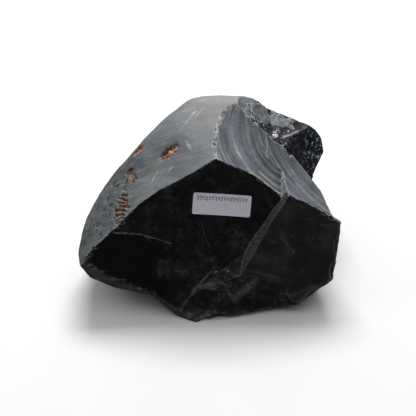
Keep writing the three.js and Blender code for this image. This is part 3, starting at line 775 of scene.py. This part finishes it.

# ------------------------------------------------------------------ the stone: its mesh
# The net of triangles gets a finish for each face, sharp creases where breaks meet, and attributes that say
# where the glass is chipped, scratched, stained, dusty or rusty, and where highlights, glints, reflections,
# top light and shade in the pits are painted.

# scratches and rubbed lines, and painted highlights along arrises and rims with painted glint dots on the
# toe: two ends, half width, and how strong
MARKS_AND_HIGHLIGHTS = [
    ((-18.5, 26.6, 102.0), (-12.0, 35.0, 107.0), 0.4, 0.7),
    ((-12.0, 35.0, 107.0), (-8.3, 38.6, 109.7), 0.6, 0.9),
    ((-5.3, 46.5, 112.8), (2.0, 45.9, 115.8), 0.9, 0.5),
    ((-16.0, 42.0, 107.5), (-8.5, 42.0, 111.0), 0.9, 0.35),
    ((-14.4, 17.4, 101.5), (-12.4, 13.0, 100.8), 0.6, 0.7),
    ((-12.4, 13.0, 100.8), (-9.1, 3.9, 100.0), 0.3, 0.6),
    ((-12.3, 0.7, 97.5), (0.6, 3.0, 104.1), 0.3, 0.7),
    ((-37.9, -5.9, 82.6), (-32.8, 3.5, 88.4), 0.3, 0.6),
    ((-7.9, 34.4, 108.9), (-3.3, 39.0, 112.0), 0.6, 0.4),
    ((-27.0, -2.0, 89.0), (-22.5, 3.0, 93.5), 0.3, 0.6),
    ((-30.5, 2.0, 90.0), (-29.0, 6.5, 92.0), 0.3, 0.5),
    ((-44.0, -15.0, 75.0), (-41.0, -11.0, 78.5), 0.5, 0.8),
    ((-47.5, -17.0, 72.5), (-46.0, -13.0, 74.8), 0.5, 0.7),
    ((9.2, 30.5, 115.3), (7.2, 26.5, 113.5), 0.5, 0.8),
    ((5.9, 22.3, 111.8), (5.5, 17.0, 110.2), 0.6, 0.9),
    ((6.5, 6.0, 107.5), (9.0, -0.8, 106.5), 0.6, 0.8),
    ((39.2, 14.7, 103.7), (37.9, 9.2, 99.8), 0.3, 0.45),
    ((37.9, 9.2, 99.8), (41.7, -0.2, 92.3), 0.4, 0.7),
    ((41.7, -0.2, 92.3), (49.4, -9.5, 84.9), 0.4, 0.5),
    ((47.3, 29.5, 93.2), (64.1, 44.1, 90.0), 0.5, 0.8),
    ((65.5, 42.6, 86.0), (67.0, 37.0, 77.4), 0.3, 0.4),
    # painted highlight along the rim of the deep scallop
    ((-62.1, -25.9, 59.4), (-43.9, -23.9, 56.2), 0.35, 0.55),
    ((-43.9, -23.9, 56.2), (-31.6, -24.1, 51.4), 0.3, 0.4),
    ((-31.6, -24.1, 51.4), (-24.4, -24.5, 48.6), 0.3, 0.3),
    ((-41.3, -24.0, 54.9), (-34.9, -25.9, 48.1), 0.3, 0.2),
    ((-3.9, -18.2, 60.2), (-2.6, -21.3, 52.3), 0.3, 0.08),
    ((-2.6, -21.3, 52.3), (1.3, -24.1, 45.1), 0.3, 0.12),
    ((-27.7, -26.0, 45.9), (-23.8, -28.5, 39.2), 0.7, 0.15),
    ((47.9, -24.2, 55.1), (56.7, -27.7, 43.0), 0.3, 0.25),
    # painted highlights along the rims of the toe's facets
    ((-18.0, -43.0, 7.1), (-10.6, -38.2, 15.1), 0.8, 0.2),
    ((-10.6, -38.2, 15.1), (-8.2, -36.6, 19.2), 0.9, 0.3),
    ((-8.2, -36.6, 19.2), (2.3, -31.2, 29.6), 0.5, 0.3),
    ((-8.2, -36.6, 19.2), (0.6, -35.3, 22.0), 1.0, 0.3),
    ((0.6, -35.3, 22.0), (9.4, -36.2, 24.6), 0.9, 0.2),
    ((9.4, -36.2, 24.6), (17.2, -40.2, 12.1), 0.9, 0.2),
    ((18.0, -40.0, 12.5), (30.8, -35.9, 24.3), 2.4, 0.18),
    ((25.6, -34.5, 34.0), (46.3, -34.8, 27.1), 0.7, 0.10),
    ((54.8, -37.9, 13.1), (70.9, -35.1, 19.5), 1.0, 0.14),
    # painted glints: tiny bright dots on the toe
    ((4.3, -31.6, 28.7), (6.0, -31.2, 29.6), 0.3, 1.0),
    ((12.4, -32.0, 29.7), (13.9, -31.7, 30.6), 0.3, 0.9),
    ((11.2, -37.4, 22.6), (12.3, -37.1, 23.4), 0.3, 0.8),
    ((20.0, -38.5, 15.4), (21.2, -38.2, 16.6), 0.3, 0.8),
    ((29.0, -36.2, 23.0), (29.6, -36.1, 24.4), 0.3, 0.8),
    ((18.7, 7.1, 102.2), (27.5, -5.7, 94.2), 0.4, 0.5),
    ((27.5, -5.7, 94.2), (46.7, -10.3, 80.4), 0.4, 0.7),
    ((33.4, -3.3, 92.7), (48.6, -10.1, 80.8), 0.4, 0.5),
]
# yellowish stains, and on the toe a painted brownish reflection: two ends and how wide
STAINS_AND_BROWN_REFLECTION = [
    ((-32.8, 8.7, 89.9), (-40.6, -0.3, 83.0), 3.2),
    ((16.4, 34.2, 119.1), (22.9, 28.5, 120.2), 3.5),
    ((16.0, -25.5, 49.0), (21.0, -29.0, 40.5), 6.0),
    # a painted brownish reflection in the toe's scar
    ((0.0, -37.0, 20.0), (9.0, -37.5, 19.5), 3.5),
]
# places where the pale film on the fresh glass is thicker, the two low on the front painted paler
# reflections and the one by the bevel's foot dust: middle, half length, half height
DUST_AND_PAINTED_REFLECTIONS = [((-24.5, -32.4, 31.0), 13, 8), ((-2.0, -31.2, 29.8), 12, 11), ((24, -22, 48), 11, 8)]


def beside(p, a, b):
    """Distance from each point to the straight line between a and b."""
    a, b = np.asarray(a, float), np.asarray(b, float)
    t = np.clip((p - a) @ (b - a) / ((b - a) @ (b - a)), 0, 1)
    return np.linalg.norm(p - a - t[..., None] * (b - a), axis=-1)


def mesh_object(name, vertices, polygons, materials, material_of=None):
    """A piece at the origin, its place in its mesh, in metres."""
    mesh = bpy.data.meshes.new(name)
    mesh.from_pydata(np.asarray(vertices) * MM, [], np.asarray(polygons).tolist())
    for material in materials:
        mesh.materials.append(material)
    if material_of is not None:
        mesh.polygons.foreach_set("material_index", material_of.astype(np.int32))
    mesh.polygons.foreach_set("use_smooth", np.ones(len(mesh.polygons), bool))
    mesh.update()
    piece = bpy.data.objects.new(name, mesh)
    bpy.context.scene.collection.objects.link(piece)
    return piece


everything = faces + chips
skin = np.array([skin_names.index(f["skin"]) for f in everything])[triangle_owner]
centre = points[triangles].mean(1)
below = (centre - fresh_break["at"]) @ fresh_break["n"] > 0.8 * wander(centre, 4, 81)
broken_off = np.isin(triangle_owner, [number(shelf), number(dark_dish), number(crest_side)])
skin[below & broken_off] = skin_names.index("hackled")
stone = mesh_object("obsidian_stone", points, triangles, SKINS.values(), skin)
mesh = stone.data

# A crease stays sharp wherever the triangles on its two sides belong to different faces, unless the
# two were worn together.
loop_edge = np.zeros(len(mesh.loops), np.int32)
mesh.loops.foreach_get("edge_index", loop_edge)
owner_of_loop = np.repeat(triangle_owner, 3)
family_of_loop = family_of(owner_of_loop)
lowest, highest = np.full(len(mesh.edges), 10**6), np.full(len(mesh.edges), -1)
np.minimum.at(lowest, loop_edge, family_of_loop)
np.maximum.at(highest, loop_edge, family_of_loop)
mesh.attributes.new("sharp_edge", "BOOLEAN", "EDGE").data.foreach_set("value", lowest != highest)

# How sharp each crease is: where two triangles turn by an angle a, their normals sum to 2 cos(a / 2).
first, second, third = points[triangles].transpose(1, 0, 2)
turned = unit(np.cross(second - first, third - first))
both = np.zeros((len(mesh.edges), 3))
np.add.at(both, loop_edge, np.repeat(turned, 3, axis=0))
ends = np.zeros(len(mesh.edges) * 2, np.int32)
mesh.edges.foreach_get("vertices", ends)
sharp = (lowest != highest) * step(2 - (both**2).sum(1) / 2, 0.01, 0.25)
rubbed = sorted((number(bevel), number(plate)))        # the crease between these two is nearly worn away
sharp[(lowest == rubbed[0]) & (highest == rubbed[1])] *= 0.25
# painted edge highlight: rim says how strongly each finish paints pale worn edges and highlights along the
# sharp creases
edge_wear_and_highlight = np.zeros(len(points))
np.maximum.at(edge_wear_and_highlight, ends, np.repeat(sharp, 2))

# Painted glints, pale crushed specks on the splintered glass: at its outer end and beside the ribbed scar,
# and only high up.
across = points[:, 0] + 3 * wander(points, 7, 74)
painted_glint_amount = 0.15 + 0.82 * np.maximum(step(across, 62, 71), 0.8 * (1 - step(across, 46, 54)))
painted_glint_amount = painted_glint_amount * (0.12 + 0.88 * step(points[:, 2], 48, 68))

# Scratches, stains and dust fade out at their edges, which ragged makes uneven.
ragged = 0.5 * wander(points, 2.5, 71)
scratch_and_highlight = np.zeros(len(points))
for a, b, wide, strong in MARKS_AND_HIGHLIGHTS:
    near = 1 - step(beside(points, a, b) + 0.5 * ragged, 0.4 * wide, 1.8 * wide)
    scratch_and_highlight = np.maximum(scratch_and_highlight, strong * near)
stain_and_brown_reflection = np.zeros(len(points))
patchy = 0.42 + 0.35 * wander(points, 3.5, 75)
for a, b, wide in STAINS_AND_BROWN_REFLECTION:
    near = 1 - step(beside(points, a, b) + 2 * ragged, 0.1 * wide, 1.1 * wide)
    stain_and_brown_reflection = np.maximum(stain_and_brown_reflection, patchy * near)
dust_and_painted_reflection = np.select([owner == number(deep_scallop), owner == number(front_hollow)], [0.12, 0.45], 0.8)
for middle, half_long, half_high in DUST_AND_PAINTED_REFLECTIONS:
    off = points - np.asarray(middle)
    spread = np.sqrt((off[:, 0] / half_long) ** 2 + (off[:, 2] / half_high) ** 2) + 0.5 * ragged
    dust_and_painted_reflection = np.maximum(dust_and_painted_reflection, 0.9 * (1 - step(spread, 0.75, 1.1)))
_, rust, dark_streaks_and_pit_shade = pitting(points)
for name, values in {
    "rust": rust,
    "dark_streaks_and_pit_shade": dark_streaks_and_pit_shade,
    "painted_glint_amount": painted_glint_amount,
    "dust_and_painted_reflection": dust_and_painted_reflection,
    "edge_wear_and_highlight": edge_wear_and_highlight,
    "mark": scratch_and_highlight,
    "stain_and_brown_reflection": stain_and_brown_reflection,
    "worn": 0.75 * step(points[:, 2] + 6 * wander(points, 22, 73), 88, 118),     # painted light: paler towards the top, as if lit from above
    "pocked": step(-points[:, 0] + 14 * wander(points, 18, 72), 30, 62),         # porous at the left
}.items():
    mesh.attributes.new(name, "FLOAT", "POINT").data.foreach_set("value", values.astype(np.float32))

# Rings round the place each face was struck: distance out, distance round as on a ring of this radius,
# and a number per family, so that no two breaks carry on each other's rings.
RING_RADIUS = 40
FAMILY_APART = 3.7
strike, u, v = (np.array([f[key] for f in everything])[owner_of_loop] for key in ("strike", "u", "v"))
corner = points[triangles.reshape(-1)] - strike
out = np.linalg.norm(corner, axis=1)
turn = np.arctan2((corner * v).sum(1), (corner * u).sum(1))
sweep = np.stack([out, turn * RING_RADIUS, family_of_loop * FAMILY_APART], 1)
mesh.attributes.new("sweep", "FLOAT_VECTOR", "CORNER").data.foreach_set("vector", sweep.ravel())

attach(stone, "root")
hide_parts("obsidian_chunk")

# ------------------------------------------------------------------ the paper label
# A small self-adhesive label, cut with rounded corners and pressed on to the front hollow so that
# it follows the curve of the glass.  Uncoated paper, held by its own glue.
LABEL_WIDTH, LABEL_HEIGHT, LABEL_CORNER = 38, 15.2, 1.4
LABEL_THICK = 0.14
LABEL_MIDDLE = np.array([9, -13.5, 73])
LABEL_ACROSS = np.array([38, -0.3, -2.9])
GLUE = 0.12                                # the sheet lies this far off the glass

flat_way = unit(LABEL_ACROSS - front_hollow["n"] * (LABEL_ACROSS @ front_hollow["n"]))
up_way = np.cross(front_hollow["n"], flat_way)


def on_label(x, y, lift):
    """The point x along and y up the label, pressed on to the hollow and lifted off it by lift."""
    hollow = front_hollow
    flat = LABEL_MIDDLE + x[..., None] * flat_way + y[..., None] * up_way
    off = flat - hollow["at"]
    bend = hollow["ku"] * (off @ hollow["u"]) ** 2 + hollow["kv"] * (off @ hollow["v"]) ** 2
    smooth = flat - hollow["n"] * (off @ hollow["n"] + bend)[..., None]
    height = relief(number(hollow), hollow, smooth) + lift
    return smooth + hollow["n"] * height[..., None]


def grid_squares(rows, cols):
    """Squares joining a grid of rows by cols points."""
    index = np.arange(rows * cols).reshape(rows, cols)
    return np.stack([index[:-1, :-1], index[:-1, 1:], index[1:, 1:], index[1:, :-1]], -1).reshape(-1, 4)


def label_paper():
    """Uncoated white paper with a faint lavender cast, matte, clouded and softly fibrous."""
    material, tree, here = new_material("label_paper")
    # real fibres are finer than these 1.1 mm, which is as fine as shows
    fibres = add(tree, "TexNoise", {"Vector": here, "Scale": 1 / (1.1 * MM), "Detail": 5, "Roughness": 0.7,
                                    "Distortion": 0.5})
    colour = add(tree, "ValToRGB", {"Fac": fibres}, ((0.3, "#dedbe6"), (0.7, "#ece9f2")))
    cloud = add(tree, "TexNoise", {"Vector": here, "Scale": 1 / (9 * MM), "Detail": 3})
    cloud = add(tree, "ValToRGB", {"Fac": cloud}, ((0.45, 0.0), (0.7, 0.35)))
    colour = add(tree, "Mix", {0: cloud, 6: colour, 7: "#cfcbd7"}, **MIX)
    tooth = add(tree, "Bump", {"Height": fibres, "Distance": 0.03 * MM})
    paper = add(tree, "BsdfPrincipled", {"Base Color": colour, "Roughness": 0.75, "IOR": 1.5,
                                         "Normal": tooth})
    add(tree, "OutputMaterial", {"Surface": paper})
    return material


# The sheet: x goes as the sine of one parameter, so that the rows crowd into the rounded corners, and
# y is the other times half the height there, which the corner's quarter circle takes down.
swing, rise = np.meshgrid(np.linspace(-np.pi / 2, np.pi / 2, 56), np.linspace(-1, 1, 20), indexing="ij")
x = LABEL_WIDTH / 2 * np.sin(swing)
past = np.maximum(0, np.abs(x) - (LABEL_WIDTH / 2 - LABEL_CORNER)) / LABEL_CORNER
half_height = LABEL_HEIGHT / 2 - LABEL_CORNER * (1 - np.sqrt(np.maximum(0, 1 - past**2)))
label = mesh_object("stuck_label", on_label(x, rise * half_height, GLUE).reshape(-1, 3),
                    grid_squares(*x.shape)[:, ::-1], [label_paper()])
thickness = label.modifiers.new("paper", "SOLIDIFY")
thickness.thickness = LABEL_THICK * MM
thickness.offset = 1
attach(label, "root")
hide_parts("paper_label")

# ------------------------------------------------------------------ the pen line on the label
# One stroke of violet-blue ball pen run along the top of the label in plain loops, which spell
# nothing.  The ink lies on the paper in a film too thin to feel.
PEN_WIDTH = 0.34
INK_OFF_PAPER = 0.03                       # keeps the two surfaces from meeting
LOOPS, LOOP_STEP, LOOP_HIGH = 17, 1.97, 1.25
LINE_HEIGHT = 4.0                          # above the middle of the label


def pen_ink():
    """Ball pen ink soaked into paper: flat, violet blue, uneven where the ball skipped."""
    material, tree, here = new_material("ball_pen_ink")
    skip = add(tree, "TexNoise", {"Vector": here, "Scale": 1 / (1.5 * MM), "Detail": 3, "Roughness": 0.6})
    colour = add(tree, "ValToRGB", {"Fac": skip}, ((0.35, "#3f3b7a"), (0.7, "#6d689e")))
    ink = add(tree, "BsdfPrincipled", {"Base Color": colour, "Roughness": 0.6})
    add(tree, "OutputMaterial", {"Surface": ink})
    return material


# The stroke: a circle swung round once a loop while it moves along, its height and lean wandering, and
# a strip of the pen's width laid along it.
t = np.linspace(0, LOOPS, LOOPS * 26)
loop_x = (t - LOOPS / 2) * LOOP_STEP + 0.9 * np.sin(2 * np.pi * t + 0.5 * np.sin(1.7 * t))
tall = LOOP_HIGH * (1 + 0.3 * np.sin(2.3 * t) + 0.2 * np.sin(5.1 * t + 1))
loop_y = LINE_HEIGHT + tall * np.cos(2 * np.pi * t) + 0.15 * np.sin(1.1 * t)
way = unit(np.stack([np.gradient(loop_x), np.gradient(loop_y)], -1))
wide = np.array([-0.5, 0.5])[:, None] * PEN_WIDTH
pen_x = loop_x - wide * way[:, 1]
pen_y = loop_y + wide * way[:, 0]
pen = mesh_object("pen_line", on_label(pen_x, pen_y, GLUE + LABEL_THICK + INK_OFF_PAPER).reshape(-1, 3),
                  grid_squares(*pen_x.shape), [pen_ink()])
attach(pen, "root")

# ------------------------------------------------------------------ the table it stands on
# A plain matte white studio table, a round laminate board far wider than the stone, which stands
# loose on it.
TABLE_RADIUS = 900.0
TABLE_DROP = 0.05                          # the board lies this little below the stone's flat seat


def white_table():
    """Matte white laminate."""
    material, tree, here = new_material("white_laminate")
    cloud = add(tree, "TexNoise", {"Vector": here, "Scale": 1 / (60 * MM), "Detail": 2})
    colour = add(tree, "ValToRGB", {"Fac": cloud}, ((0.3, "#f9f9f9"), (0.7, "#fbfbfb")))
    board = add(tree, "BsdfPrincipled", {"Base Color": colour, "Roughness": 0.9, "Specular IOR Level": 0.2})
    add(tree, "OutputMaterial", {"Surface": board})
    return material


# The board: a point at distance outward from the middle, at angle around.
around = np.linspace(0, 2 * np.pi, 65)
around, outward = np.meshgrid(around, np.linspace(0, TABLE_RADIUS, 12), indexing="ij")
board = np.stack([outward * np.cos(around), outward * np.sin(around), 0 * around - TABLE_DROP], -1)
table = mesh_object("table", board.reshape(-1, 3), grid_squares(*around.shape)[:, ::-1], [white_table()])
table.visible_glossy = False               # the glass mirrors the dark room and not the board

# ------------------------------------------------------------------ the studio
# A large soft box hangs over and a little behind the stone, a weak one stands to the left, and the
# room in front stays dark, which is what the black glass mirrors.
CAMERA_HEIGHT = 42.0                       # degrees above the table
CAMERA_AWAY = 1000.0
LOOK_AT = (0.0, 0.0, 58.0)
LENS = 129.8                               # mm, on a 36 mm sensor


def aim(obj, place, target):
    """Puts an object at place, looking at target, both in millimetres."""
    place, target = Vector(place) * MM, Vector(target) * MM
    obj.location = place
    obj.rotation_euler = (target - place).to_track_quat("-Z", "Y").to_euler()
    bpy.context.scene.collection.objects.link(obj)


camera = bpy.data.objects.new("camera", bpy.data.cameras.new("camera"))
camera.data.lens = LENS
camera.data.sensor_width = 36
tilt = np.radians(CAMERA_HEIGHT)
camera_place = np.array(LOOK_AT) + CAMERA_AWAY * np.array([0, -np.cos(tilt), np.sin(tilt)])
aim(camera, camera_place, LOOK_AT)
bpy.context.scene.camera = camera


def soft_box(name, place, width, depth, power, target=(0, 0, 40)):
    """A rectangular soft box aimed at the stone."""
    lamp = bpy.data.lights.new(name, "AREA")
    lamp.shape = "RECTANGLE"
    lamp.size = width * MM
    lamp.size_y = depth * MM
    lamp.energy = power
    aim(bpy.data.objects.new(name, lamp), place, target)


soft_box("soft_box_above", (0, 620, 1040), 620, 360, 11.2)
soft_box("soft_box_left", (-900, 100, 700), 500, 500, 0.8)

world = bpy.data.worlds.new("studio_room")
bpy.context.scene.world = world
world.use_nodes = True
tree = world.node_tree
tree.nodes.clear()
ray_way = add(tree, "TexCoord").outputs["Generated"]
up_and_back = add(tree, "VectorMath", {0: ray_way, 1: (0.0, 0.5, 0.87)}, operation="DOT_PRODUCT")
room = add(tree, "ValToRGB", {"Fac": up_and_back.outputs["Value"]},
           ((0.0, 0.05), (0.25, 0.09), (0.58, 0.48), (1.0, 0.78)))
seen = add(tree, "LightPath").outputs["Is Camera Ray"]
shade = add(tree, "Mix", {0: seen, 6: room, 7: (0.98, 0.98, 0.98, 1)}, **MIX)
add(tree, "OutputWorld", {"Surface": add(tree, "Background", {"Color": shade, "Strength": 1.0})})
bpy.context.scene.view_settings.view_transform = "Standard"
